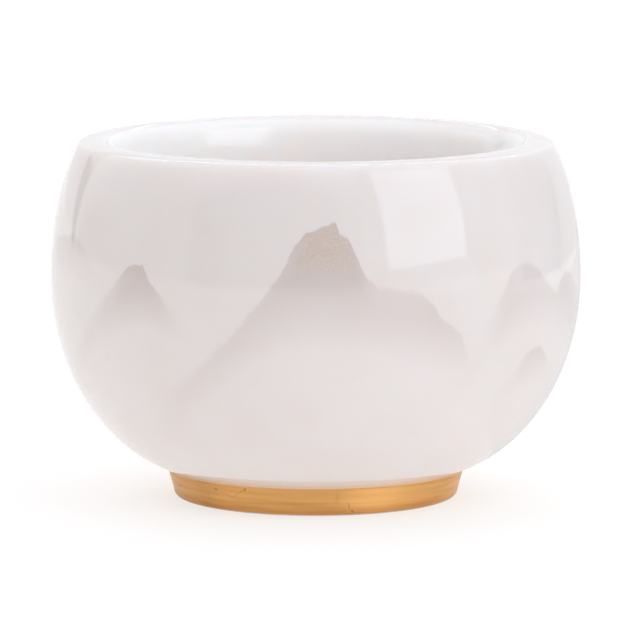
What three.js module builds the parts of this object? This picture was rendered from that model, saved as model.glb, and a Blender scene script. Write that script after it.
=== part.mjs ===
// A round-bellied porcelain tea cup with a gilded foot ring.
// The cup is turned and fired as one piece: bowl, lip and foot are a single thick-walled solid,
// and the gold on the foot is only a coat of colour, so it adds no solid of its own.
// Millimetres, +Z up, with the origin at the middle of the ring that the cup stands on.
import * as THREE from "three";

// Driving dimensions of the outside
const BODY_RADIUS = 42; // at the belly, the widest place
const BELLY_HEIGHT = 35.3;
const CUP_HEIGHT = 57;
const LOWER_BODY = new THREE.Vector2(24.7, 31.7); // semi-axes of the curve from belly down to foot
const UPPER_BODY = new THREE.Vector2(13.6, 28.5); // semi-axes of the curve from belly up to lip

// Foot ring
const FOOT_TOP_RADIUS = 23.4;
const FOOT_BOTTOM_RADIUS = 22.6;
const FOOT_INNER_RADIUS = 18.6;
const FOOT_OUTER_ROUND = 1.2;
const FOOT_INNER_ROUND = 0.8;
const FOOT_NECK_ROUND = 0.5; // the tight hollow where the foot meets the body
const UNDERSIDE_HEIGHT = 2.6; // of the hollow inside the foot ring

// Lip, a low dome on the outside that rolls over its crown into the throat of the mouth
const LIP_SHOULDER_HEIGHT = 56.2; // where the outer wall turns in
const LIP_SHOULDER_PULL = 0.5; // reach of the dome's curve along the wall
const LIP_CROWN_RADIUS = 34.1;
const LIP_CROWN_OUTER_PULL = 1.8; // reach of the curve along the flat top, outwards
const LIP_CROWN_INNER_PULL = 1.2; // and inwards
const THROAT_RADIUS = 31.5; // the narrowest place of the mouth
const THROAT_HEIGHT = 51.5;
const THROAT_UPPER_PULL = 3.5; // reach of the curve up from the throat, and down from it
const THROAT_LOWER_PULL = 5;

// Inside of the bowl
const WALL_AT_BELLY = 6;
const INNER_BELLY_PULL = 7; // reach of the inner wall's curve up from the belly
const FLOOR_HEIGHT = 8;
const FLOOR_FLAT_RADIUS = 12.5;

// Steps round the axis, and along each stretch of the profile
const TURN_STEPS = 64;
const BODY_STEPS = 10;
const LIP_STEPS = 6;
const ROUND_STEPS = 3;
const SAME_POINT = 1e-6; // profile points closer than this are one point

const GILDING_TOP = 4.3; // the gold ends in the hollow at the foot's neck

const WHITE_GLAZE = new THREE.MeshStandardMaterial({
  name: "white_glazed_porcelain",
  color: 0xece7e5,
  roughness: 0.08,
  metalness: 0,
});
const GILDING = new THREE.MeshStandardMaterial({
  name: "burnished_gilding",
  color: 0xd99a4e,
  roughness: 0.35,
  metalness: 1,
});

// A profile point has the distance from the axis as x and the height as y.
const point = (radius, height) => new THREE.Vector2(radius, height);

// Part of an ellipse about a centre, from one angle to another, in degrees from the outward direction.
function ellipseArc(centre, semiAxes, fromAngle, toAngle, steps) {
  const from = THREE.MathUtils.degToRad(fromAngle);
  const to = THREE.MathUtils.degToRad(toAngle);
  const curve = new THREE.EllipseCurve(centre.x, centre.y, semiAxes.x, semiAxes.y, from, to, to < from);
  return curve.getPoints(steps);
}

// The angle, in degrees, at which an ellipse with its centre at belly height reaches another height.
function angleAtHeight(semiAxes, height) {
  return THREE.MathUtils.radToDeg(Math.asin((height - BELLY_HEIGHT) / semiAxes.y));
}

// The point of the lower body's curve at a distance from the axis.
function lowerBodyAt(radius) {
  const across = (radius - (BODY_RADIUS - LOWER_BODY.x)) / LOWER_BODY.x;
  return point(radius, BELLY_HEIGHT - LOWER_BODY.y * Math.sqrt(1 - across * across));
}

// The direction of an ellipse, going up, where it has the given angle in degrees.
function directionAt(semiAxes, angle) {
  const a = THREE.MathUtils.degToRad(angle);
  return point(-semiAxes.x * Math.sin(a), semiAxes.y * Math.cos(a)).normalize();
}

// The recessed underside and the ring that the cup stands on, from the axis to the foot's outer wall.
function footProfile() {
  const recessCorner = point(FOOT_INNER_RADIUS - FOOT_INNER_ROUND, UNDERSIDE_HEIGHT - FOOT_INNER_ROUND);
  const innerEdge = point(FOOT_INNER_RADIUS + FOOT_INNER_ROUND, FOOT_INNER_ROUND);
  const outerEdge = point(FOOT_BOTTOM_RADIUS - FOOT_OUTER_ROUND, FOOT_OUTER_ROUND);
  const innerRound = point(FOOT_INNER_ROUND, FOOT_INNER_ROUND);
  const outerRound = point(FOOT_OUTER_ROUND, FOOT_OUTER_ROUND);
  return [
    point(0, UNDERSIDE_HEIGHT),
    ...ellipseArc(recessCorner, innerRound, 90, 0, ROUND_STEPS),
    ...ellipseArc(innerEdge, innerRound, 180, 270, ROUND_STEPS),
    ...ellipseArc(outerEdge, outerRound, -90, 0, ROUND_STEPS),
  ];
}

// The tight hollow from the foot's wall out to the underside of the body.
function neckProfile() {
  const neck = lowerBodyAt(FOOT_TOP_RADIUS);
  const below = point(FOOT_TOP_RADIUS, neck.y - FOOT_NECK_ROUND);
  const beyond = lowerBodyAt(FOOT_TOP_RADIUS + FOOT_NECK_ROUND);
  return new THREE.QuadraticBezierCurve(below, neck, beyond).getPoints(ROUND_STEPS);
}

// The outer wall: one ellipse from the foot to the belly, and a taller one from there to the lip.
function wallProfile() {
  const lowerCentre = point(BODY_RADIUS - LOWER_BODY.x, BELLY_HEIGHT);
  const upperCentre = point(BODY_RADIUS - UPPER_BODY.x, BELLY_HEIGHT);
  const start = angleAtHeight(LOWER_BODY, lowerBodyAt(FOOT_TOP_RADIUS + FOOT_NECK_ROUND).y);
  const end = angleAtHeight(UPPER_BODY, LIP_SHOULDER_HEIGHT);
  return [
    ...ellipseArc(lowerCentre, LOWER_BODY, start, 0, BODY_STEPS),
    ...ellipseArc(upperCentre, UPPER_BODY, 0, end, BODY_STEPS),
  ];
}

// The lip: it leaves the outer wall in its direction, is level at its crown and upright at the throat.
function lipProfile() {
  const outerAngle = angleAtHeight(UPPER_BODY, LIP_SHOULDER_HEIGHT);
  const turnedIn = 1 - Math.cos(THREE.MathUtils.degToRad(outerAngle));
  const shoulder = point(BODY_RADIUS - UPPER_BODY.x * turnedIn, LIP_SHOULDER_HEIGHT);
  const crown = point(LIP_CROWN_RADIUS, CUP_HEIGHT);
  const outside = new THREE.CubicBezierCurve(
    shoulder,
    shoulder.clone().addScaledVector(directionAt(UPPER_BODY, outerAngle), LIP_SHOULDER_PULL),
    point(LIP_CROWN_RADIUS + LIP_CROWN_OUTER_PULL, CUP_HEIGHT),
    crown,
  );
  const inside = new THREE.CubicBezierCurve(
    crown,
    point(LIP_CROWN_RADIUS - LIP_CROWN_INNER_PULL, CUP_HEIGHT),
    point(THROAT_RADIUS, THROAT_HEIGHT + THROAT_UPPER_PULL),
    point(THROAT_RADIUS, THROAT_HEIGHT),
  );
  return [...outside.getPoints(LIP_STEPS), ...inside.getPoints(LIP_STEPS)];
}

// The inside, from the throat out to the belly and round to the level floor and the axis.
function bowlProfile() {
  const innerBelly = BODY_RADIUS - WALL_AT_BELLY;
  const upperWall = new THREE.CubicBezierCurve(
    point(THROAT_RADIUS, THROAT_HEIGHT),
    point(THROAT_RADIUS, THROAT_HEIGHT - THROAT_LOWER_PULL),
    point(innerBelly, BELLY_HEIGHT + INNER_BELLY_PULL),
    point(innerBelly, BELLY_HEIGHT),
  );
  const centre = point(FLOOR_FLAT_RADIUS, BELLY_HEIGHT);
  const semiAxes = point(innerBelly - FLOOR_FLAT_RADIUS, BELLY_HEIGHT - FLOOR_HEIGHT);
  return [
    ...upperWall.getPoints(BODY_STEPS),
    ...ellipseArc(centre, semiAxes, 0, -90, BODY_STEPS),
    point(0, FLOOR_HEIGHT),
  ];
}

// Drops the points that two neighbouring stretches share.
function withoutRepeats(points) {
  return points.filter((p, i) => i === 0 || p.distanceTo(points[i - 1]) > SAME_POINT);
}

// Sorts the faces into two groups, so that the gilding and the glaze each have their own material.
function groupByGilding(geometry) {
  const position = geometry.getAttribute("position");
  const index = geometry.getIndex().array;
  const glazed = [];
  const gilded = [];
  for (let i = 0; i < index.length; i += 3) {
    const face = [index[i], index[i + 1], index[i + 2]];
    const isGilded = face.every((v) => {
      const radius = Math.hypot(position.getX(v), position.getY(v));
      return position.getZ(v) <= GILDING_TOP && radius >= FOOT_BOTTOM_RADIUS - FOOT_OUTER_ROUND;
    });
    (isGilded ? gilded : glazed).push(...face);
  }
  geometry.setIndex([...glazed, ...gilded]);
  geometry.addGroup(0, glazed.length, 0);
  geometry.addGroup(glazed.length, gilded.length, 1);
}

function makeCup() {
  const profile = withoutRepeats([
    ...footProfile(),
    ...neckProfile(),
    ...wallProfile(),
    ...lipProfile(),
    ...bowlProfile(),
  ]);
  const geometry = new THREE.LatheGeometry(profile, TURN_STEPS);
  geometry.rotateX(Math.PI / 2); // the lathe turns about +Y
  groupByGilding(geometry);
  const cup = new THREE.Mesh(geometry, [WHITE_GLAZE, GILDING]);
  cup.name = "cup";
  return cup;
}

const teaCup = new THREE.Group();
teaCup.add(makeCup());

export default teaCup;
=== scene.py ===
import math

import bpy
from mathutils import Euler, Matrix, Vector


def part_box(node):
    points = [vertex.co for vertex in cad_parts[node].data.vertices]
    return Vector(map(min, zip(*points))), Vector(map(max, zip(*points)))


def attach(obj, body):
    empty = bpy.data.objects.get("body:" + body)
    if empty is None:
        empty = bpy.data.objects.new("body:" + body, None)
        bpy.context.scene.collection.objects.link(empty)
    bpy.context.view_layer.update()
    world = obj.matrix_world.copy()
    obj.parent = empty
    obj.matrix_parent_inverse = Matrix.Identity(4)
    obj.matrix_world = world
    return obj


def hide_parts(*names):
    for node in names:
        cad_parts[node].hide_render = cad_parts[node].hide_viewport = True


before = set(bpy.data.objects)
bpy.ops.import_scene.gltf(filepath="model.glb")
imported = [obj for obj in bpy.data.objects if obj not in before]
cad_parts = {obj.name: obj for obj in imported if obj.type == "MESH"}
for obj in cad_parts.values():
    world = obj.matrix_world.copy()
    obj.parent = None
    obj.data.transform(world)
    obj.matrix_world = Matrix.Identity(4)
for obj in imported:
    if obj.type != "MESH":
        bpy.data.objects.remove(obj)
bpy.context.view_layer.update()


# Porcelain: the body of the cup, a milky white clay dipped in clear glaze and fired until both are glassy.
# The skin is smooth and mirrors the room sharply. Light sinks a few millimetres into the body below it,
# so shadows stay soft and the wall glows a little with the light behind it.
MM = 0.001
cup_low, cup_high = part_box("cup")


def linear(hex_colour):
    """An sRGB hex colour as linear red, green, blue and alpha."""
    channels = [int(hex_colour[i : i + 2], 16) / 255 for i in (1, 3, 5)]
    curve = [c / 12.92 if c <= 0.04045 else ((c + 0.055) / 1.055) ** 2.4 for c in channels]
    return (*curve, 1.0)


def add_node(tree, kind, inputs=None, **settings):
    """Adds a node with its settings; an input that is a socket is linked, any other is a fixed value."""
    node = tree.nodes.new(kind)
    for name, value in settings.items():
        setattr(node, name, value)
    for key, value in (inputs or {}).items():
        if isinstance(value, bpy.types.NodeSocket):
            tree.links.new(value, node.inputs[key])
        else:
            node.inputs[key].default_value = value
    return node


def new_material(name):
    """An empty node material, with its tree and the object's own coordinates."""
    material = bpy.data.materials.new(name)
    material.use_nodes = True
    tree = material.node_tree
    tree.nodes.clear()
    return material, tree, add_node(tree, "ShaderNodeTexCoord").outputs["Object"]


COLOUR_A, COLOUR_B, COLOUR_MIXED = 6, 7, 2  # a Mix node's sockets for colours, whose names aren't unique
# Painted light: the inside's white and cream are lighter than the wall's, standing in for the light that
# gathers in the bowl and shines through its wall. The clay is the same all through.
INSIDE_WHITE_PAINTED_LIGHTER = linear("#FDF6F4")
INSIDE_CREAM_PAINTED_LIGHTER = linear("#FCF4F1")
WALL_WHITE = linear("#E7E1DF")
WALL_CREAM = linear("#E6DFDC")
LIP_DEPTH = 0.8 * MM  # below the crown, where the wall's white gives way to the whiter inside
CLOUD_SIZE = 9 * MM  # of the faint clouds where the slip was uneven
CLOUD_DETAIL = {"Detail": 2.0, "Roughness": 0.45}
CLOUD_SPAN = {"From Min": 0.35, "From Max": 0.7}
GLAZE_ROUGHNESS = 0.06
GLAZE_IOR = 1.56
GLAZE_WAVE_SIZE = 7 * MM  # the glaze ran a little in the kiln, so its mirror image wavers
GLAZE_WAVE_DETAIL = 1.0
GLAZE_WAVE_DEPTH = 0.012 * MM
MILKY_DEPTH = 3.2 * MM
MILKY_REACH = (1.0, 0.8, 0.7)  # red light travels furthest in the body


def milky_body(tree, place, white, cream):
    """The body's colour under the glaze: white, with faint creamy clouds."""
    clouds = add_node(tree, "ShaderNodeTexNoise", {"Vector": place, "Scale": 1 / CLOUD_SIZE, **CLOUD_DETAIL})
    spread = add_node(
        tree,
        "ShaderNodeMapRange",
        {"Value": clouds.outputs["Fac"], **CLOUD_SPAN},
        interpolation_type="SMOOTHSTEP",
    )
    mix = add_node(
        tree,
        "ShaderNodeMix",
        {"Factor": spread.outputs["Result"], COLOUR_A: white, COLOUR_B: cream},
        data_type="RGBA",
    )
    return mix.outputs[COLOUR_MIXED]


def glaze_over(tree, place, colour):
    """The glassy skin over a body colour."""
    waves = add_node(
        tree,
        "ShaderNodeTexNoise",
        {"Vector": place, "Scale": 1 / GLAZE_WAVE_SIZE, "Detail": GLAZE_WAVE_DETAIL},
    )
    skin = add_node(tree, "ShaderNodeBump", {"Height": waves.outputs["Fac"], "Distance": GLAZE_WAVE_DEPTH})
    shader = add_node(
        tree,
        "ShaderNodeBsdfPrincipled",
        {
            "Base Color": colour,
            "Roughness": GLAZE_ROUGHNESS,
            "IOR": GLAZE_IOR,
            "Subsurface Weight": 1.0,
            "Subsurface Radius": MILKY_REACH,
            "Subsurface Scale": MILKY_DEPTH,
            "Normal": skin.outputs["Normal"],
        },
    )
    add_node(tree, "ShaderNodeOutputMaterial", {"Surface": shader.outputs["BSDF"]})


clear_glaze, tree, place = new_material("clear_glaze_on_white_porcelain")
below_crown = add_node(
    tree,
    "ShaderNodeMapRange",
    {
        "Value": add_node(tree, "ShaderNodeSeparateXYZ", {0: place}).outputs["Z"],
        "From Min": cup_high.z,
        "From Max": cup_high.z - LIP_DEPTH,
    },
    interpolation_type="SMOOTHSTEP",
).outputs["Result"]
# The inside takes the painted lighter white, blended into the wall's white at the crown.
inside = milky_body(tree, place, INSIDE_WHITE_PAINTED_LIGHTER, INSIDE_CREAM_PAINTED_LIGHTER)
inside = add_node(
    tree, "ShaderNodeMix", {"Factor": below_crown, COLOUR_A: WALL_WHITE, COLOUR_B: inside}, data_type="RGBA"
).outputs[COLOUR_MIXED]
glaze_over(tree, place, inside)


# Mountains: misty ranges printed on the outer wall in thin taupe ceramic colour, under the clear glaze.
# Each range is darkest and sharpest at its peaks, where the colour is golden and breaks into fine grains,
# and it fades down into the white of the wall like hills in fog. The ranges round the back are plainer.
WASH = linear("#CDC1BD")
GOLDEN_WASH = linear("#D2C3BA")
GOLDEN_SPAN = {"From Min": 0.6, "From Max": 0.98}  # how much colour it takes to look golden
CREST_WANDER = 0.45 * MM
CREST_WANDER_SIZE = 2.4 * MM
CREST_WANDER_DETAIL = {"Detail": 4.0, "Roughness": 0.65}
CREST_WANDER_SPAN = {"From Min": 0.25, "From Max": 0.75}
CREST_EDGE = 0.2 * MM  # half the width of the sharpest edge
THINNEST_LOAD = 0.15  # thin colour has a soft edge, but none softer than at this load
FADE_LEAST = 2 * MM  # the shortest stretch over which a range thins out into its fog
GRAIN_SIZE = 0.32 * MM
GRAIN_DETAIL = 0.0
GRAIN_SPAN = {"From Min": 0.3, "From Max": 0.7, "To Min": 0.82, "To Max": 1.14}
GRAIN_SHOW = {"To Min": 0.3, "To Max": 1.0}  # the grain shows most where the colour is golden
VALUE_A, VALUE_B = 2, 3  # a Mix node's sockets for plain values
# The signs of X and Y, to the right of someone who faces a side and towards them
SIDES = {"front": (1.0, -1.0), "back": (-1.0, 1.0)}
RANGES = {
    # The side each range is on, and the stretch in mm over which its full load of colour thins out.
    # Then its crest from left to right: the bearing in degrees from the middle of that side, the height
    # in mm and the load of colour. Last, the line where the fog has swallowed it, as bearings and heights.
    "main peak": (
        ("front", 14),
        ((-46, 12, 0), (-36, 20.5, 0.07), (-25, 26, 0.23), (-18, 31, 0.3), (-12, 36, 0.4), (-7, 41, 0.6),
         (-4.6, 44.8, 0.7), (-2, 47, 0.9), (2, 47.8, 0.95), (4.2, 48.8, 0.95), (5, 46.8, 0.95),
         (6.8, 46, 0.9), (8.5, 43.4, 0.75), (10.3, 40.2, 0.52), (13, 38.4, 0.38), (19, 37.7, 0.39),
         (22.8, 37.3, 0.42), (25, 35.6, 0.48), (28, 32.8, 0.5), (32.5, 30.4, 0.42), (34.5, 27.2, 0.2),
         (38, 20, 0.03), (46, 12, 0)),
        ((-46, 8), (-23, 21), (-5, 28.5), (10, 28), (27, 24.5), (36, 23.5), (46, 12)),
    ),
    "left peak": (
        ("front", 7),
        ((-85, 14, 0), (-60, 29, 0.12), (-53, 33.5, 0.2), (-48, 37, 0.34), (-43.8, 40.5, 0.68),
         (-39.6, 40.8, 0.76), (-37.6, 38.6, 0.7), (-35.3, 36.6, 0.48), (-33, 34.8, 0.2), (-29, 32, 0.03),
         (-24, 28, 0)),
        ((-85, 10), (-60, 24), (-44, 30.5), (-36, 30.5), (-24, 26)),
    ),
    "far left": (
        ("front", 9),
        ((-104, 20, 0), (-85, 38, 0.24), (-76, 42.6, 0.36), (-68, 43.4, 0.4), (-64, 43.4, 0.38),
         (-59, 41.6, 0.2), (-54, 39.4, 0.02), (-40, 30, 0)),
        ((-104, 15), (-70, 36.5), (-40, 28)),
    ),
    "right": (
        ("front", 11),
        ((32, 22, 0), (39, 31.5, 0.06), (41.5, 34, 0.16), (43.6, 36.6, 0.3), (45.8, 39, 0.38),
         (48.5, 40.3, 0.38), (52.5, 40.5, 0.38), (56, 38.8, 0.38), (60.5, 35.8, 0.33), (63.5, 35, 0.32),
         (66, 37.2, 0.42), (68.3, 38, 0.46), (71, 37.4, 0.42), (75, 35.4, 0.28), (84, 31, 0.14),
         (96, 20, 0)),
        ((32, 19), (50, 29), (68, 27.5), (96, 16)),
    ),
    "low right": (
        ("front", 9),
        ((44, 18, 0), (50.5, 24.2, 0.1), (53, 26, 0.34), (55, 26.6, 0.46), (58, 26.7, 0.46),
         (60.5, 25.8, 0.4), (63.5, 24.2, 0.2), (69, 22, 0.04), (80, 16, 0)),
        ((44, 16), (58, 20.5), (80, 14)),
    ),
    "back": (
        ("back", 12),
        ((-62, 12, 0), (-40, 26, 0.22), (-24, 33, 0.36), (-12, 40, 0.6), (-5, 43, 0.7), (0, 42, 0.68),
         (8, 37.5, 0.45), (18, 35.5, 0.4), (28, 30, 0.26), (44, 20, 0.12), (58, 12, 0)),
        ((-62, 8), (-24, 24), (0, 28), (24, 23), (58, 8)),
    ),
    "back left": (
        ("back", 9),
        ((-100, 16, 0), (-80, 30, 0.22), (-66, 36.5, 0.4), (-60, 36, 0.38), (-46, 28, 0.16), (-34, 20, 0)),
        ((-100, 12), (-64, 27), (-34, 15)),
    ),
    "back right": (
        ("back", 9),
        ((26, 18, 0), (44, 30, 0.24), (56, 36, 0.42), (64, 34, 0.38), (80, 27, 0.18), (98, 16, 0)),
        ((26, 14), (58, 27), (98, 12)),
    ),
}


def bearing_on(side, tree, axes):
    """The angle round the axis, in radians, to the right of the middle of a side as one faces it."""
    across, ahead = (
        add_node(tree, "ShaderNodeMath", {0: axes[axis], 1: sign}, operation="MULTIPLY").outputs[0]
        for axis, sign in zip("XY", SIDES[side])
    )
    return add_node(tree, "ShaderNodeMath", {0: across, 1: ahead}, operation="ARCTAN2").outputs[0]


def follow(tree, along, points, handles):
    """A value that runs from point to point: pairs of a place along a range and a value, both 0 to 1."""
    curve_node = add_node(tree, "ShaderNodeFloatCurve", {"Value": along})
    curve = curve_node.mapping.curves[0]
    curve.points[0].location = points[0]
    curve.points[1].location = points[-1]
    for place_along, value in points[1:-1]:
        curve.points.new(place_along, value)
    for point in curve.points:
        point.handle_type = handles
    curve_node.mapping.update()
    return curve_node.outputs[0]


painted_glaze, tree, place = new_material("mountain_print_under_clear_glaze")
axes = add_node(tree, "ShaderNodeSeparateXYZ", {0: place}).outputs
bearings = {side: bearing_on(side, tree, axes) for side in SIDES}
wander = add_node(
    tree, "ShaderNodeTexNoise", {"Vector": place, "Scale": 1 / CREST_WANDER_SIZE, **CREST_WANDER_DETAIL}
).outputs["Fac"]
wander = add_node(
    tree,
    "ShaderNodeMapRange",
    {"Value": wander, **CREST_WANDER_SPAN, "To Min": -CREST_WANDER, "To Max": CREST_WANDER},
).outputs["Result"]

colour_laid = 0.0
for (side, fade), crest_points, fog_points in RANGES.values():
    first, last = crest_points[0][0], crest_points[-1][0]
    along = add_node(
        tree,
        "ShaderNodeMapRange",
        {"Value": bearings[side], "From Min": math.radians(first), "From Max": math.radians(last)},
    ).outputs["Result"]
    places = [(bearing - first) / (last - first) for bearing, _, _ in crest_points]
    heights = [high * MM / cup_high.z for _, high, _ in crest_points]
    loads = [load for _, _, load in crest_points]
    fog_line = [((bearing - first) / (last - first), high * MM / cup_high.z) for bearing, high in fog_points]
    crest = follow(tree, along, list(zip(places, heights)), "VECTOR")
    load = follow(tree, along, list(zip(places, loads)), "VECTOR")
    fog = follow(tree, along, fog_line, "AUTO")
    crest = add_node(
        tree, "ShaderNodeMath", {0: crest, 1: cup_high.z, 2: wander}, operation="MULTIPLY_ADD"
    ).outputs[0]
    fog = add_node(tree, "ShaderNodeMath", {0: fog, 1: cup_high.z}, operation="MULTIPLY").outputs[0]
    depth = add_node(tree, "ShaderNodeMath", {0: crest, 1: axes["Z"]}, operation="SUBTRACT").outputs[0]
    firm = add_node(tree, "ShaderNodeMath", {0: load, 1: THINNEST_LOAD}, operation="MAXIMUM").outputs[0]
    soft = add_node(tree, "ShaderNodeMath", {0: CREST_EDGE, 1: firm}, operation="DIVIDE").outputs[0]
    beyond = add_node(tree, "ShaderNodeMath", {0: soft, 1: -1.0}, operation="MULTIPLY").outputs[0]
    edge = add_node(
        tree,
        "ShaderNodeMapRange",
        {"Value": depth, "From Min": beyond, "From Max": soft},
        interpolation_type="SMOOTHSTEP",
    ).outputs["Result"]
    thinning = add_node(
        tree, "ShaderNodeMath", {0: load, 1: fade * MM, 2: FADE_LEAST}, operation="MULTIPLY_ADD"
    ).outputs[0]
    clear = add_node(tree, "ShaderNodeMath", {0: fog, 1: thinning}, operation="ADD").outputs[0]
    above_fog = add_node(
        tree, "ShaderNodeMapRange", {"Value": axes["Z"], "From Min": fog, "From Max": clear}
    ).outputs["Result"]
    shade = add_node(tree, "ShaderNodeMath", {0: edge, 1: above_fog}, operation="MULTIPLY").outputs[0]
    shade = add_node(tree, "ShaderNodeMath", {0: shade, 1: load}, operation="MULTIPLY").outputs[0]
    colour_laid = add_node(
        tree, "ShaderNodeMath", {0: colour_laid, 1: shade}, operation="MAXIMUM"
    ).outputs[0]

golden = add_node(
    tree, "ShaderNodeMapRange", {"Value": colour_laid, **GOLDEN_SPAN}, interpolation_type="SMOOTHSTEP"
).outputs["Result"]
wash = add_node(
    tree, "ShaderNodeMix", {"Factor": golden, COLOUR_A: WASH, COLOUR_B: GOLDEN_WASH}, data_type="RGBA"
).outputs[COLOUR_MIXED]
grains = add_node(
    tree, "ShaderNodeTexNoise", {"Vector": place, "Scale": 1 / GRAIN_SIZE, "Detail": GRAIN_DETAIL}
).outputs["Fac"]
grains = add_node(tree, "ShaderNodeMapRange", {"Value": grains, **GRAIN_SPAN}).outputs["Result"]
grainy = add_node(tree, "ShaderNodeMapRange", {"Value": golden, **GRAIN_SHOW}).outputs["Result"]
grains = add_node(tree, "ShaderNodeMix", {"Factor": grainy, VALUE_A: 1.0, VALUE_B: grains}).outputs[0]
colour_laid = add_node(tree, "ShaderNodeMath", {0: colour_laid, 1: grains}, operation="MULTIPLY").outputs[0]
wall = milky_body(tree, place, WALL_WHITE, WALL_CREAM)
painted = add_node(
    tree, "ShaderNodeMix", {"Factor": colour_laid, COLOUR_A: wall, COLOUR_B: wash}, data_type="RGBA"
).outputs[COLOUR_MIXED]
glaze_over(tree, place, painted)


# Gilding: liquid gold brushed round the outside of the foot ring, fired on and burnished to a satin shine.
# It shows faint brush streaks that run round the foot, a browner worn band low down,
# and a few dark specks and hair scratches from handling. Its left end is dimmed by a painted shade.
GOLD = linear("#F1B974")
GOLD_WORN = linear("#B9783C")
GOLD_MARK_AND_SHADE = linear("#5E3A22")
GOLD_ROUGHNESS = {"To Min": 0.42, "To Max": 0.54}
GOLD_ANISOTROPY = 0.8  # brush streaks run round the foot, so highlights stretch up and down
ACROSS_STREAKS = 0.25  # of a turn
STREAK_LENGTH = 9 * MM
STREAK_WIDTH = 0.5 * MM
STREAK_DETAIL = 3.0
STREAK_SPAN = {"From Min": 0.35, "From Max": 0.7}
STREAK_TONE = 0.15  # how far a streak goes towards the worn tone
STREAK_DEPTH = 0.01 * MM
WORN_SPAN = {"From Min": 2.2 * MM, "From Max": 0.3 * MM}  # wear sets in below the first height
WORN_TONE = 0.45
FOOT_RADIUS = 23 * MM  # turns a bearing on the foot into a length along it
GOLD_MARKS_AND_PAINTED_SHADE = {
    # Start and end, each a bearing in degrees from the front and a height in mm,
    # then the width in mm and the depth of tone.
    "chevron left": ((-41.5, 3.45), (-34.5, 2.5), 0.13, 0.19),
    "chevron right": ((-34.5, 2.5), (-28.6, 4.0), 0.13, 0.22),
    "chevron left end": ((-42.9, 3.65), (-41.7, 3.5), 0.3, 0.5),
    "chevron right end": ((-28.6, 3.9), (-28.2, 4.1), 0.32, 0.42),
    "side speck": ((-69.2, 2.65), (-68.6, 2.6), 0.4, 0.7),
    "upright nick": ((12.9, 2.1), (13.4, 1.25), 0.14, 0.35),
    "low speck": ((14.4, 0.85), (14.9, 0.75), 0.28, 0.4),
    # Painted shade: a broad dim patch on the left end of the gold, where the gold mirrors the table in the
    # cup's shadow.
    "painted shade left end": ((-82, 2.4), (-52, 2.4), 7.5, 0.28),
    "upright smear": ((8.4, 3.5), (8.1, 2.4), 0.7, 0.09),
}

gilding, tree, place = new_material("burnished_gold_lustre")
axes = add_node(tree, "ShaderNodeSeparateXYZ", {0: place}).outputs
stretched = add_node(
    tree,
    "ShaderNodeVectorMath",
    {0: place, 1: (1 / STREAK_LENGTH, 1 / STREAK_LENGTH, 1 / STREAK_WIDTH)},
    operation="MULTIPLY",
).outputs[0]
streaks = add_node(
    tree, "ShaderNodeTexNoise", {"Vector": stretched, "Scale": 1.0, "Detail": STREAK_DETAIL}
).outputs["Fac"]
streak_tone = add_node(
    tree, "ShaderNodeMapRange", {"Value": streaks, **STREAK_SPAN, "To Max": STREAK_TONE}
).outputs["Result"]
worn_tone = add_node(
    tree,
    "ShaderNodeMapRange",
    {"Value": axes["Z"], **WORN_SPAN, "To Max": WORN_TONE},
    interpolation_type="SMOOTHSTEP",
).outputs["Result"]
browned = add_node(
    tree, "ShaderNodeMath", {0: streak_tone, 1: worn_tone}, operation="ADD", use_clamp=True
).outputs[0]
gold_colour = add_node(
    tree, "ShaderNodeMix", {"Factor": browned, COLOUR_A: GOLD, COLOUR_B: GOLD_WORN}, data_type="RGBA"
).outputs[COLOUR_MIXED]

foot_bearing = bearing_on("front", tree, axes)
round_foot = add_node(
    tree, "ShaderNodeMath", {0: foot_bearing, 1: FOOT_RADIUS}, operation="MULTIPLY"
).outputs[0]
foot_place = add_node(tree, "ShaderNodeCombineXYZ", {"X": round_foot, "Y": axes["Z"]}).outputs[0]
# The specks and scratches, and the painted shade over the left end, all darken towards one mark colour.
marks_and_shade = 0.0
for (from_bearing, from_height), (to_bearing, to_height), width, depth in GOLD_MARKS_AND_PAINTED_SHADE.values():
    start = Vector((math.radians(from_bearing) * FOOT_RADIUS, from_height * MM, 0))
    run = Vector((math.radians(to_bearing) * FOOT_RADIUS, to_height * MM, 0)) - start
    off = add_node(tree, "ShaderNodeVectorMath", {0: foot_place, 1: start}, operation="SUBTRACT").outputs[0]
    share = add_node(
        tree, "ShaderNodeVectorMath", {0: off, 1: run / run.length_squared}, operation="DOT_PRODUCT"
    ).outputs["Value"]
    share = add_node(tree, "ShaderNodeClamp", {"Value": share}).outputs[0]
    nearest = add_node(
        tree, "ShaderNodeVectorMath", {0: run, "Scale": share}, operation="SCALE"
    ).outputs[0]
    distance = add_node(
        tree, "ShaderNodeVectorMath", {0: off, 1: nearest}, operation="DISTANCE"
    ).outputs["Value"]
    mark_or_shade = add_node(
        tree,
        "ShaderNodeMapRange",
        {"Value": distance, "From Min": 0.0, "From Max": width * MM, "To Min": depth, "To Max": 0.0},
        interpolation_type="SMOOTHSTEP",
    ).outputs["Result"]
    marks_and_shade = add_node(tree, "ShaderNodeMath", {0: marks_and_shade, 1: mark_or_shade}, operation="MAXIMUM").outputs[0]
gold_colour = add_node(
    tree, "ShaderNodeMix", {"Factor": marks_and_shade, COLOUR_A: gold_colour, COLOUR_B: GOLD_MARK_AND_SHADE}, data_type="RGBA"
).outputs[COLOUR_MIXED]
satin = add_node(
    tree, "ShaderNodeMapRange", {"Value": streaks, **STREAK_SPAN, **GOLD_ROUGHNESS}
).outputs["Result"]
brushed = add_node(tree, "ShaderNodeBump", {"Height": streaks, "Distance": STREAK_DEPTH}).outputs["Normal"]
round_axis = add_node(tree, "ShaderNodeTangent", direction_type="RADIAL", axis="Z").outputs[0]
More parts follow.
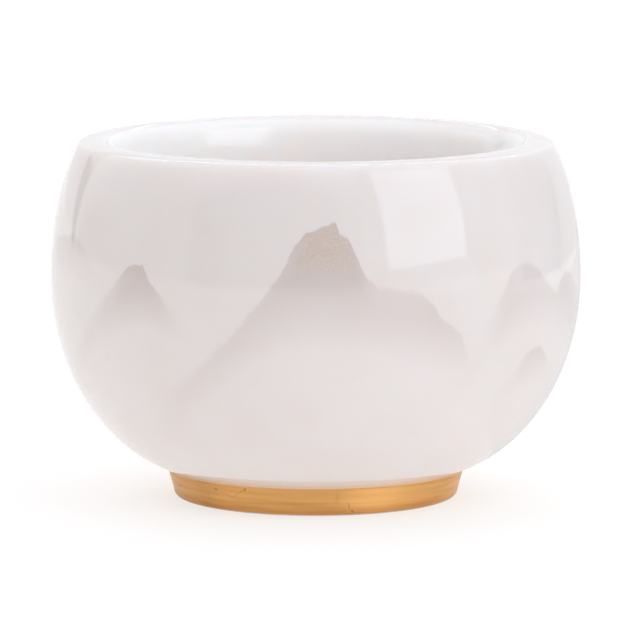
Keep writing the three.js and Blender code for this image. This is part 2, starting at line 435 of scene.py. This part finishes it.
gold_shader = add_node(
    tree,
    "ShaderNodeBsdfPrincipled",
    {
        "Base Color": gold_colour,
        "Metallic": 1.0,
        "Roughness": satin,
        "Normal": brushed,
        "Anisotropic": GOLD_ANISOTROPY,
        "Anisotropic Rotation": ACROSS_STREAKS,
        "Tangent": round_axis,
    },
)
add_node(tree, "ShaderNodeOutputMaterial", {"Surface": gold_shader.outputs["BSDF"]})


# Standing ring: the narrow flat that touches the table, wiped free of glaze before firing so it won't stick.
# The bare porcelain there is matt, gritty and grey.
BARE_GREY = linear("#A69B96")
BARE_PALE = linear("#D9D0CA")
BARE_ROUGHNESS = 0.75
GRIT_SIZE = 0.5 * MM
GRIT_DETAIL = 2.0
GRIT_DEPTH = 0.02 * MM
bare_ring, tree, place = new_material("bare_fired_porcelain")
grit = add_node(
    tree, "ShaderNodeTexNoise", {"Vector": place, "Scale": 1 / GRIT_SIZE, "Detail": GRIT_DETAIL}
).outputs["Fac"]
bare_colour = add_node(
    tree, "ShaderNodeMix", {"Factor": grit, COLOUR_A: BARE_GREY, COLOUR_B: BARE_PALE}, data_type="RGBA"
).outputs[COLOUR_MIXED]
gritty = add_node(tree, "ShaderNodeBump", {"Height": grit, "Distance": GRIT_DEPTH}).outputs["Normal"]
bare_shader = add_node(
    tree,
    "ShaderNodeBsdfPrincipled",
    {"Base Color": bare_colour, "Roughness": BARE_ROUGHNESS, "Normal": gritty},
)
add_node(tree, "ShaderNodeOutputMaterial", {"Surface": bare_shader.outputs["BSDF"]})


# Cup: bowl, lip and foot ring, turned as one thick-walled piece of porcelain, round about its axis.
# A template of smooth stretches, from the middle of the underside over the lip to the middle of the floor,
# is swept once round. The finishes above are then laid on by height and by the way that the wall faces.
BELLY_RADIUS = (cup_high.x - cup_low.x) / 2 / MM  # this and the sizes below are in millimetres
CUP_HEIGHT = cup_high.z / MM
BELLY_HEIGHT = 35.3
LOWER_BODY = (24.7, 31.7)  # semi-axes of the curve from belly down to foot
UPPER_BODY = (13.6, 28.5)  # semi-axes of the curve from belly up to lip
FOOT_TOP_RADIUS = 23.4
FOOT_BOTTOM_RADIUS = 22.6
FOOT_INNER_RADIUS = 18.6
FOOT_OUTER_ROUND = 1.2
FOOT_INNER_ROUND = 0.8
FOOT_NECK_ROUND = 0.5  # the tight hollow where the foot meets the body
UNDERSIDE_HEIGHT = 2.6
LIP_SHOULDER_HEIGHT = 56.2  # where the outer wall turns in
LIP_SHOULDER_PULL = 0.5  # a pull is how far a curve reaches along the direction it starts or ends in
LIP_CROWN_RADIUS = 34.1
LIP_CROWN_OUTER_PULL = 1.8
LIP_CROWN_INNER_PULL = 1.2
THROAT_RADIUS = 31.5  # the narrowest place of the mouth
THROAT_HEIGHT = 51.5
THROAT_UPPER_PULL = 3.5
THROAT_LOWER_PULL = 5
WALL_AT_BELLY = 6
INNER_BELLY_PULL = 7
FLOOR_HEIGHT = 8
FLOOR_FLAT_RADIUS = 12.5
BARE_TOP = 0.3
GILDING_TOP = 4.6
OUTWARD_LEAST = 0.05  # radius times outward lean of a face, above which it counts as facing outwards
WELD_DISTANCE = 0.002
CORNER_PULL = 2 / 3  # share of the way to a corner that both pulls reach when it is rounded off
TURN_STEPS = 256
ROUND_STEPS = 8
FOOT_EDGE_STEPS = 12
LOWER_BODY_STEPS = 40
UPPER_BODY_STEPS = 30
LIP_OUTSIDE_STEPS = 20
THROAT_STEPS = 24  # above the throat, and below it
BOWL_STEPS = 40


def ellipse_point(centre, semi, degrees):
    """A point of an ellipse, as radius and height, at an angle up from the outward direction."""
    a = math.radians(degrees)
    return (centre[0] + semi[0] * math.cos(a), centre[1] + semi[1] * math.sin(a))


def ellipse_stretch(centre, semi, start, end, steps):
    """A stretch of the template along an ellipse: its end points and the pulls that shape it."""
    reach = 4 / 3 * math.tan(math.radians(end - start) / 4)
    a, b = math.radians(start), math.radians(end)
    start_point, end_point = ellipse_point(centre, semi, start), ellipse_point(centre, semi, end)
    start_pull = (-semi[0] * math.sin(a) * reach, semi[1] * math.cos(a) * reach)
    end_pull = (semi[0] * math.sin(b) * reach, -semi[1] * math.cos(b) * reach)
    return (start_point, start_pull, end_pull, end_point, steps)


def straight(start, end):
    """A straight stretch of the template."""
    return (start, (0, 0), (0, 0), end, 1)


lower_centre = (BELLY_RADIUS - LOWER_BODY[0], BELLY_HEIGHT)
upper_centre = (BELLY_RADIUS - UPPER_BODY[0], BELLY_HEIGHT)
inner_belly = (BELLY_RADIUS - WALL_AT_BELLY, BELLY_HEIGHT)
floor_centre = (FLOOR_FLAT_RADIUS, BELLY_HEIGHT)
floor_semi = (inner_belly[0] - FLOOR_FLAT_RADIUS, BELLY_HEIGHT - FLOOR_HEIGHT)


def lower_angle(radius):
    """The angle, below the outward direction, at which the lower body has this radius."""
    return -math.degrees(math.acos((radius - lower_centre[0]) / LOWER_BODY[0]))


neck = ellipse_point(lower_centre, LOWER_BODY, lower_angle(FOOT_TOP_RADIUS))
neck_low = (FOOT_TOP_RADIUS, neck[1] - FOOT_NECK_ROUND)
neck_angle = lower_angle(FOOT_TOP_RADIUS + FOOT_NECK_ROUND)
neck_high = ellipse_point(lower_centre, LOWER_BODY, neck_angle)
neck_low_pull = (0, (neck[1] - neck_low[1]) * CORNER_PULL)
neck_high_pull = ((neck[0] - neck_high[0]) * CORNER_PULL, (neck[1] - neck_high[1]) * CORNER_PULL)
shoulder_rise = math.asin((LIP_SHOULDER_HEIGHT - BELLY_HEIGHT) / UPPER_BODY[1])
shoulder_angle = math.degrees(shoulder_rise)
shoulder = ellipse_point(upper_centre, UPPER_BODY, shoulder_angle)
shoulder_lean = Vector((-UPPER_BODY[0] * math.sin(shoulder_rise), UPPER_BODY[1] * math.cos(shoulder_rise)))
shoulder_pull = tuple(shoulder_lean.normalized() * LIP_SHOULDER_PULL)
crown = (LIP_CROWN_RADIUS, CUP_HEIGHT)
throat = (THROAT_RADIUS, THROAT_HEIGHT)
recess_centre = (FOOT_INNER_RADIUS - FOOT_INNER_ROUND, UNDERSIDE_HEIGHT - FOOT_INNER_ROUND)
inner_edge_centre = (FOOT_INNER_RADIUS + FOOT_INNER_ROUND, FOOT_INNER_ROUND)
outer_edge_centre = (FOOT_BOTTOM_RADIUS - FOOT_OUTER_ROUND, FOOT_OUTER_ROUND)
inner_round = (FOOT_INNER_ROUND, FOOT_INNER_ROUND)
outer_round = (FOOT_OUTER_ROUND, FOOT_OUTER_ROUND)

template = {
    "underside": straight((0, UNDERSIDE_HEIGHT), (recess_centre[0], UNDERSIDE_HEIGHT)),
    "recess corner": ellipse_stretch(recess_centre, inner_round, 90, 0, ROUND_STEPS),
    "ring inside": straight((FOOT_INNER_RADIUS, recess_centre[1]), (FOOT_INNER_RADIUS, FOOT_INNER_ROUND)),
    "ring inner edge": ellipse_stretch(inner_edge_centre, inner_round, 180, 270, ROUND_STEPS),
    "standing ring": straight((inner_edge_centre[0], 0), (outer_edge_centre[0], 0)),
    "ring outer edge": ellipse_stretch(outer_edge_centre, outer_round, -90, 0, FOOT_EDGE_STEPS),
    "foot wall": straight((FOOT_BOTTOM_RADIUS, FOOT_OUTER_ROUND), neck_low),
    "neck": (neck_low, neck_low_pull, neck_high_pull, neck_high, ROUND_STEPS),
    "lower body": ellipse_stretch(lower_centre, LOWER_BODY, neck_angle, 0, LOWER_BODY_STEPS),
    "upper body": ellipse_stretch(upper_centre, UPPER_BODY, 0, shoulder_angle, UPPER_BODY_STEPS),
    "lip outside": (shoulder, shoulder_pull, (LIP_CROWN_OUTER_PULL, 0), crown, LIP_OUTSIDE_STEPS),
    "lip inside": (crown, (-LIP_CROWN_INNER_PULL, 0), (0, THROAT_UPPER_PULL), throat, THROAT_STEPS),
    "inner shoulder": (throat, (0, -THROAT_LOWER_PULL), (0, INNER_BELLY_PULL), inner_belly, THROAT_STEPS),
    "inner bowl": ellipse_stretch(floor_centre, floor_semi, 0, -90, BOWL_STEPS),
    "floor": straight((FLOOR_FLAT_RADIUS, FLOOR_HEIGHT), (0, FLOOR_HEIGHT)),
}

turning = bpy.data.node_groups.new("turned_cup", "GeometryNodeTree")
turning.interface.new_socket("Geometry", in_out="OUTPUT", socket_type="NodeSocketGeometry")
sizes = {"Belly radius": BELLY_RADIUS * MM, "Gilding top": GILDING_TOP * MM, "Bare ring top": BARE_TOP * MM}
for name, (*points, _) in template.items():
    for part, (radius, height) in zip(("start", "start pull", "end pull", "end"), points):
        sizes[name + " " + part] = (radius * MM, height * MM, 0)
sockets = {}
for name, value in sizes.items():
    kind = "NodeSocketVector" if isinstance(value, tuple) else "NodeSocketFloat"
    sockets[name] = turning.interface.new_socket(name, in_out="INPUT", socket_type=kind)
given = add_node(turning, "NodeGroupInput").outputs

outline = add_node(turning, "GeometryNodeJoinGeometry")
for name, (*_, steps) in reversed(template.items()):
    segment = add_node(
        turning,
        "GeometryNodeCurvePrimitiveBezierSegment",
        {
            "Resolution": steps,
            "Start": given[name + " start"],
            "Start Handle": given[name + " start pull"],
            "End Handle": given[name + " end pull"],
            "End": given[name + " end"],
        },
        mode="OFFSET",
    )
    turning.links.new(segment.outputs[0], outline.inputs[0])

inward = add_node(
    turning, "ShaderNodeMath", {0: given["Belly radius"], 1: -1.0}, operation="MULTIPLY"
).outputs[0]
shift = add_node(turning, "ShaderNodeCombineXYZ", {"X": inward}).outputs[0]
at_path = add_node(
    turning,
    "GeometryNodeTransform",
    {"Geometry": outline.outputs[0], "Translation": shift, "Scale": (1, -1, 1)},
).outputs[0]
path = add_node(
    turning, "GeometryNodeCurvePrimitiveCircle", {"Resolution": TURN_STEPS, "Radius": given["Belly radius"]}
).outputs[0]
swept = add_node(turning, "GeometryNodeCurveToMesh", {"Curve": path, "Profile Curve": at_path}).outputs[0]
faced = add_node(turning, "GeometryNodeFlipFaces", {"Mesh": swept}).outputs[0]
welded = add_node(
    turning, "GeometryNodeMergeByDistance", {"Geometry": faced, "Distance": WELD_DISTANCE * MM}
).outputs[0]
smooth = add_node(turning, "GeometryNodeSetShadeSmooth", {"Geometry": welded}).outputs[0]
solid = add_node(turning, "GeometryNodeRealizeInstances", {"Geometry": smooth}).outputs[0]

position = add_node(turning, "GeometryNodeInputPosition").outputs[0]
normal = add_node(turning, "GeometryNodeInputNormal").outputs[0]
face_height = add_node(turning, "ShaderNodeSeparateXYZ", {0: position}).outputs["Z"]
level = add_node(
    turning, "ShaderNodeVectorMath", {0: position, 1: (1, 1, 0)}, operation="MULTIPLY"
).outputs[0]
outward = add_node(
    turning, "ShaderNodeVectorMath", {0: level, 1: normal}, operation="DOT_PRODUCT"
).outputs["Value"]
faces_out = add_node(
    turning, "FunctionNodeCompare", {0: outward, 1: OUTWARD_LEAST * MM}, operation="GREATER_THAN"
).outputs[0]
on_foot = add_node(
    turning, "FunctionNodeCompare", {0: face_height, 1: given["Gilding top"]}, operation="LESS_THAN"
).outputs[0]
on_ring = add_node(
    turning, "FunctionNodeCompare", {0: face_height, 1: given["Bare ring top"]}, operation="LESS_THAN"
).outputs[0]
gilded = add_node(turning, "FunctionNodeBooleanMath", {0: faces_out, 1: on_foot}, operation="AND").outputs[0]
for material, chosen in (
    (clear_glaze, True),
    (painted_glaze, faces_out),
    (gilding, gilded),
    (bare_ring, on_ring),
):
    solid = add_node(
        turning, "GeometryNodeSetMaterial", {"Geometry": solid, "Selection": chosen, "Material": material}
    ).outputs[0]
add_node(turning, "NodeGroupOutput", {0: solid})

blank = bpy.data.meshes.new("cup_blank")
cup = bpy.data.objects.new("porcelain_cup", blank)
bpy.context.scene.collection.objects.link(cup)
turner = cup.modifiers.new("turning", "NODES")
turner.node_group = turning
for name, socket in sockets.items():
    turner[socket.identifier] = sizes[name]
bpy.context.view_layer.update()
turned = bpy.data.meshes.new_from_object(cup.evaluated_get(bpy.context.evaluated_depsgraph_get()))
cup.modifiers.remove(turner)
cup.data = turned
turned.name = "porcelain_cup"
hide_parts("cup")
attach(cup, "root")


# Table: a wide flat sheet of white acrylic, on which the cup stands with its foot ring.
# It is lit a little from below, so that it photographs as plain white with only a faint shadow.
TABLE_SIZE = 6.0
TABLE_WHITE = linear("#A0A0A1")
TABLE_ROUGHNESS = 0.7
TABLE_SPECULAR = 0.1
TABLE_GLOW = 0.66
TABLE_GLOW_COLOUR = linear("#FFFCF9")
table_mesh = bpy.data.meshes.new("table")
half = TABLE_SIZE / 2
table_mesh.from_pydata(
    [(-half, -half, 0), (half, -half, 0), (half, half, 0), (-half, half, 0)], [], [(0, 1, 2, 3)]
)
table = bpy.data.objects.new("white_table", table_mesh)
bpy.context.scene.collection.objects.link(table)
table_white, tree, _ = new_material("white_acrylic_sheet")
table_shader = add_node(
    tree,
    "ShaderNodeBsdfPrincipled",
    {
        "Base Color": TABLE_WHITE,
        "Roughness": TABLE_ROUGHNESS,
        "Specular IOR Level": TABLE_SPECULAR,
        "Emission Color": TABLE_GLOW_COLOUR,
        "Emission Strength": TABLE_GLOW,
    },
)
add_node(tree, "ShaderNodeOutputMaterial", {"Surface": table_shader.outputs["BSDF"]})
table_mesh.materials.append(table_white)


# Studio light: softboxes and panels on stands round the table, aimed at the cup, in an even white room.
# Bright and dim cards stand among them. They light nothing, and show only as mirror images in the glaze
# and the gold, where they give the wall its soft shading and the dark strips near its edges.
LIGHTS = {
    # Each has its place, as a bearing and an elevation in degrees and a distance in metres, and its size in
    # metres. It faces the cup, and is turned from there by a tilt, a swing and a roll in degrees.
    "front_right_softbox": {
        "place": (53.2, 24.2, 1.5),
        "turn": (8.5, -24.0, -7.6),
        "size": (1.08, 1.03),
        "radiance": 1.78,
        "colour": "#EAF3FF",
        "mirrored": True,
    },
    "left_panel": {
        "place": (-91, 22, 1.6),
        "turn": (0, 0, 0),
        "size": (2.24, 1.55),
        "radiance": 0.14,
        "colour": "#FFFFFF",
        "mirrored": False,
    },
    "overhead_softbox": {
        "place": (180, 80, 1.5),
        "turn": (0, 0, 0),
        "size": (1.6, 1.2),
        "radiance": 1.6,
        "colour": "#DDE9FF",
        "mirrored": False,
    },
    "back_strip": {
        "place": (180, 36, 1.6),
        "turn": (0, 0, 0),
        "size": (1.5, 0.06),
        "radiance": 5.0,
        "colour": "#F4F6FF",
        "mirrored": True,
    },
    "backdrop": {
        "place": (-168, 10, 1.6),
        "turn": (0, 0, 0),
        "size": (3.0, 0.8),
        "radiance": 0.26,
        "colour": "#FFFFFF",
        "mirrored": True,
    },
}
ROOM_LIGHT = 0.7
CUP_MIDDLE = Vector((0, 0, 30 * MM))


def step_away(bearing, elevation):
    """A level step of 1 from the cup's axis, at a bearing from the front, with its rise at an elevation."""
    b = math.radians(bearing)
    return Vector((math.sin(b), -math.cos(b), math.tan(math.radians(elevation))))


for name, light in LIGHTS.items():
    *direction, distance = light["place"]
    width, tall = light["size"]
    lamp = bpy.data.lights.new(name, "AREA")
    lamp.shape = "RECTANGLE"
    lamp.size = width
    lamp.size_y = tall
    lamp.color = linear(light["colour"])[:3]
    lamp.energy = light["radiance"] * math.pi * width * tall
    box = bpy.data.objects.new(name, lamp)
    away = step_away(*direction).normalized()
    box.location = CUP_MIDDLE + away * distance
    aside = Euler([math.radians(angle) for angle in light["turn"]]).to_quaternion()
    box.rotation_euler = (away.to_track_quat("Z", "Y") @ aside).to_euler()
    box.visible_camera = False
    box.visible_glossy = light["mirrored"]
    bpy.context.scene.collection.objects.link(box)

CARDS = {
    # Rows from the table upwards, or outwards along it. Each gives its distance in metres, and its left and
    # right end as a bearing and an elevation in degrees and how brightly the card shines there.
    "left_flag": (
        (1.5, (-133, 0, 0.2), (-129, 0, 0.2)),
        (1.5, (-141, 14, 0.38), (-130, 14, 0.38)),
    ),
    "left_card": (
        (1.5, (-127, 0, 0.6), (-57, 0, 0.5)),
        (1.5, (-127, 9, 0.95), (-57, 26, 0.7)),
        (1.5, (-127, 15, 1.3), (-57, 36, 1.15)),
        (1.5, (-127, 24, 1.9), (-57, 46, 1.5)),
    ),
    "front_card": (
        (1.5, (-57, 0, 0.1), (20, 0, 0.4)),
        (1.5, (-57, 25, 0.1), (20, 28, 0.45)),
        (1.5, (-57, 34, 1.0), (20, 40, 1.0)),
        (1.5, (-57, 46, 1.4), (20, 50, 1.1)),
    ),
    "right_card": (
        (0.5, (97, 0, 0.42), (127, 0, 0.36)),
        (0.5, (97, 35, 0.55), (136, 35, 0.5)),
    ),
    "far_right_card": (
        (0.5, (127, 0, 0.58), (165, 0, 0.9)),
        (0.5, (131, 6, 0.66), (165, 6, 1.0)),
        (0.5, (136, 35, 0.7), (165, 35, 1.0)),
    ),
    "right_flag": (
        (0.45, (124.5, 0, 0.3), (128, 0, 0.3)),
        (0.45, (132, 16, 0.36), (137, 16, 0.36)),
    ),
    "right_table_card": (
        (0.06, (165, 0.3, 0.81), (50, 0.3, 0.81)),
        (0.6, (165, 0.03, 0.81), (50, 0.03, 0.81)),
    ),
}
card_light, tree, _ = new_material("lit_card")
shine_here = add_node(tree, "ShaderNodeAttribute", attribute_name="shine").outputs["Fac"]
card_shader = add_node(tree, "ShaderNodeEmission", {"Strength": shine_here})
add_node(tree, "ShaderNodeOutputMaterial", {"Surface": card_shader.outputs["Emission"]})
for name, rows in CARDS.items():
    corners = []
    shines = []
    for distance, *ends in rows:
        for bearing, elevation, shine in ends:
            corners.append(step_away(bearing, elevation) * distance)
            shines.append(shine)
    sheet = bpy.data.meshes.new(name)
    sheet.from_pydata(corners, [], [(i, i + 1, i + 3, i + 2) for i in range(0, len(corners) - 2, 2)])
    sheet.attributes.new("shine", "FLOAT", "POINT").data.foreach_set("value", shines)
    sheet.materials.append(card_light)
    card = bpy.data.objects.new(name, sheet)
    card.visible_camera = False
    card.visible_diffuse = False
    card.visible_shadow = False
    bpy.context.scene.collection.objects.link(card)

world = bpy.data.worlds.new("even_white_room")
bpy.context.scene.world = world
world.use_nodes = True
room = world.node_tree.nodes["Background"]
room.inputs["Color"].default_value = linear("#FFFFFF")
room.inputs["Strength"].default_value = ROOM_LIGHT
bpy.context.scene.view_settings.view_transform = "Standard"


# Camera: a long lens about a metre in front of the cup, looking a little down on it.
# Its place and focal length are fitted to the cup's outline, and everything is in focus.
IMAGE_SIZE = 630
SENSOR = 36.0
FOCAL_PIXELS = 6633
CAMERA_PLACE = Vector((-0.13, -1043.0, 169.6)) * MM
CAMERA_AIM = Vector((-0.13, 0.0, 28.73)) * MM
lens = bpy.data.cameras.new("long_lens")
lens.sensor_width = SENSOR
lens.lens = FOCAL_PIXELS * SENSOR / IMAGE_SIZE
camera = bpy.data.objects.new("camera", lens)
camera.location = CAMERA_PLACE
camera.rotation_euler = (CAMERA_PLACE - CAMERA_AIM).to_track_quat("Z", "Y").to_euler()
bpy.context.scene.collection.objects.link(camera)
bpy.context.scene.camera = camera
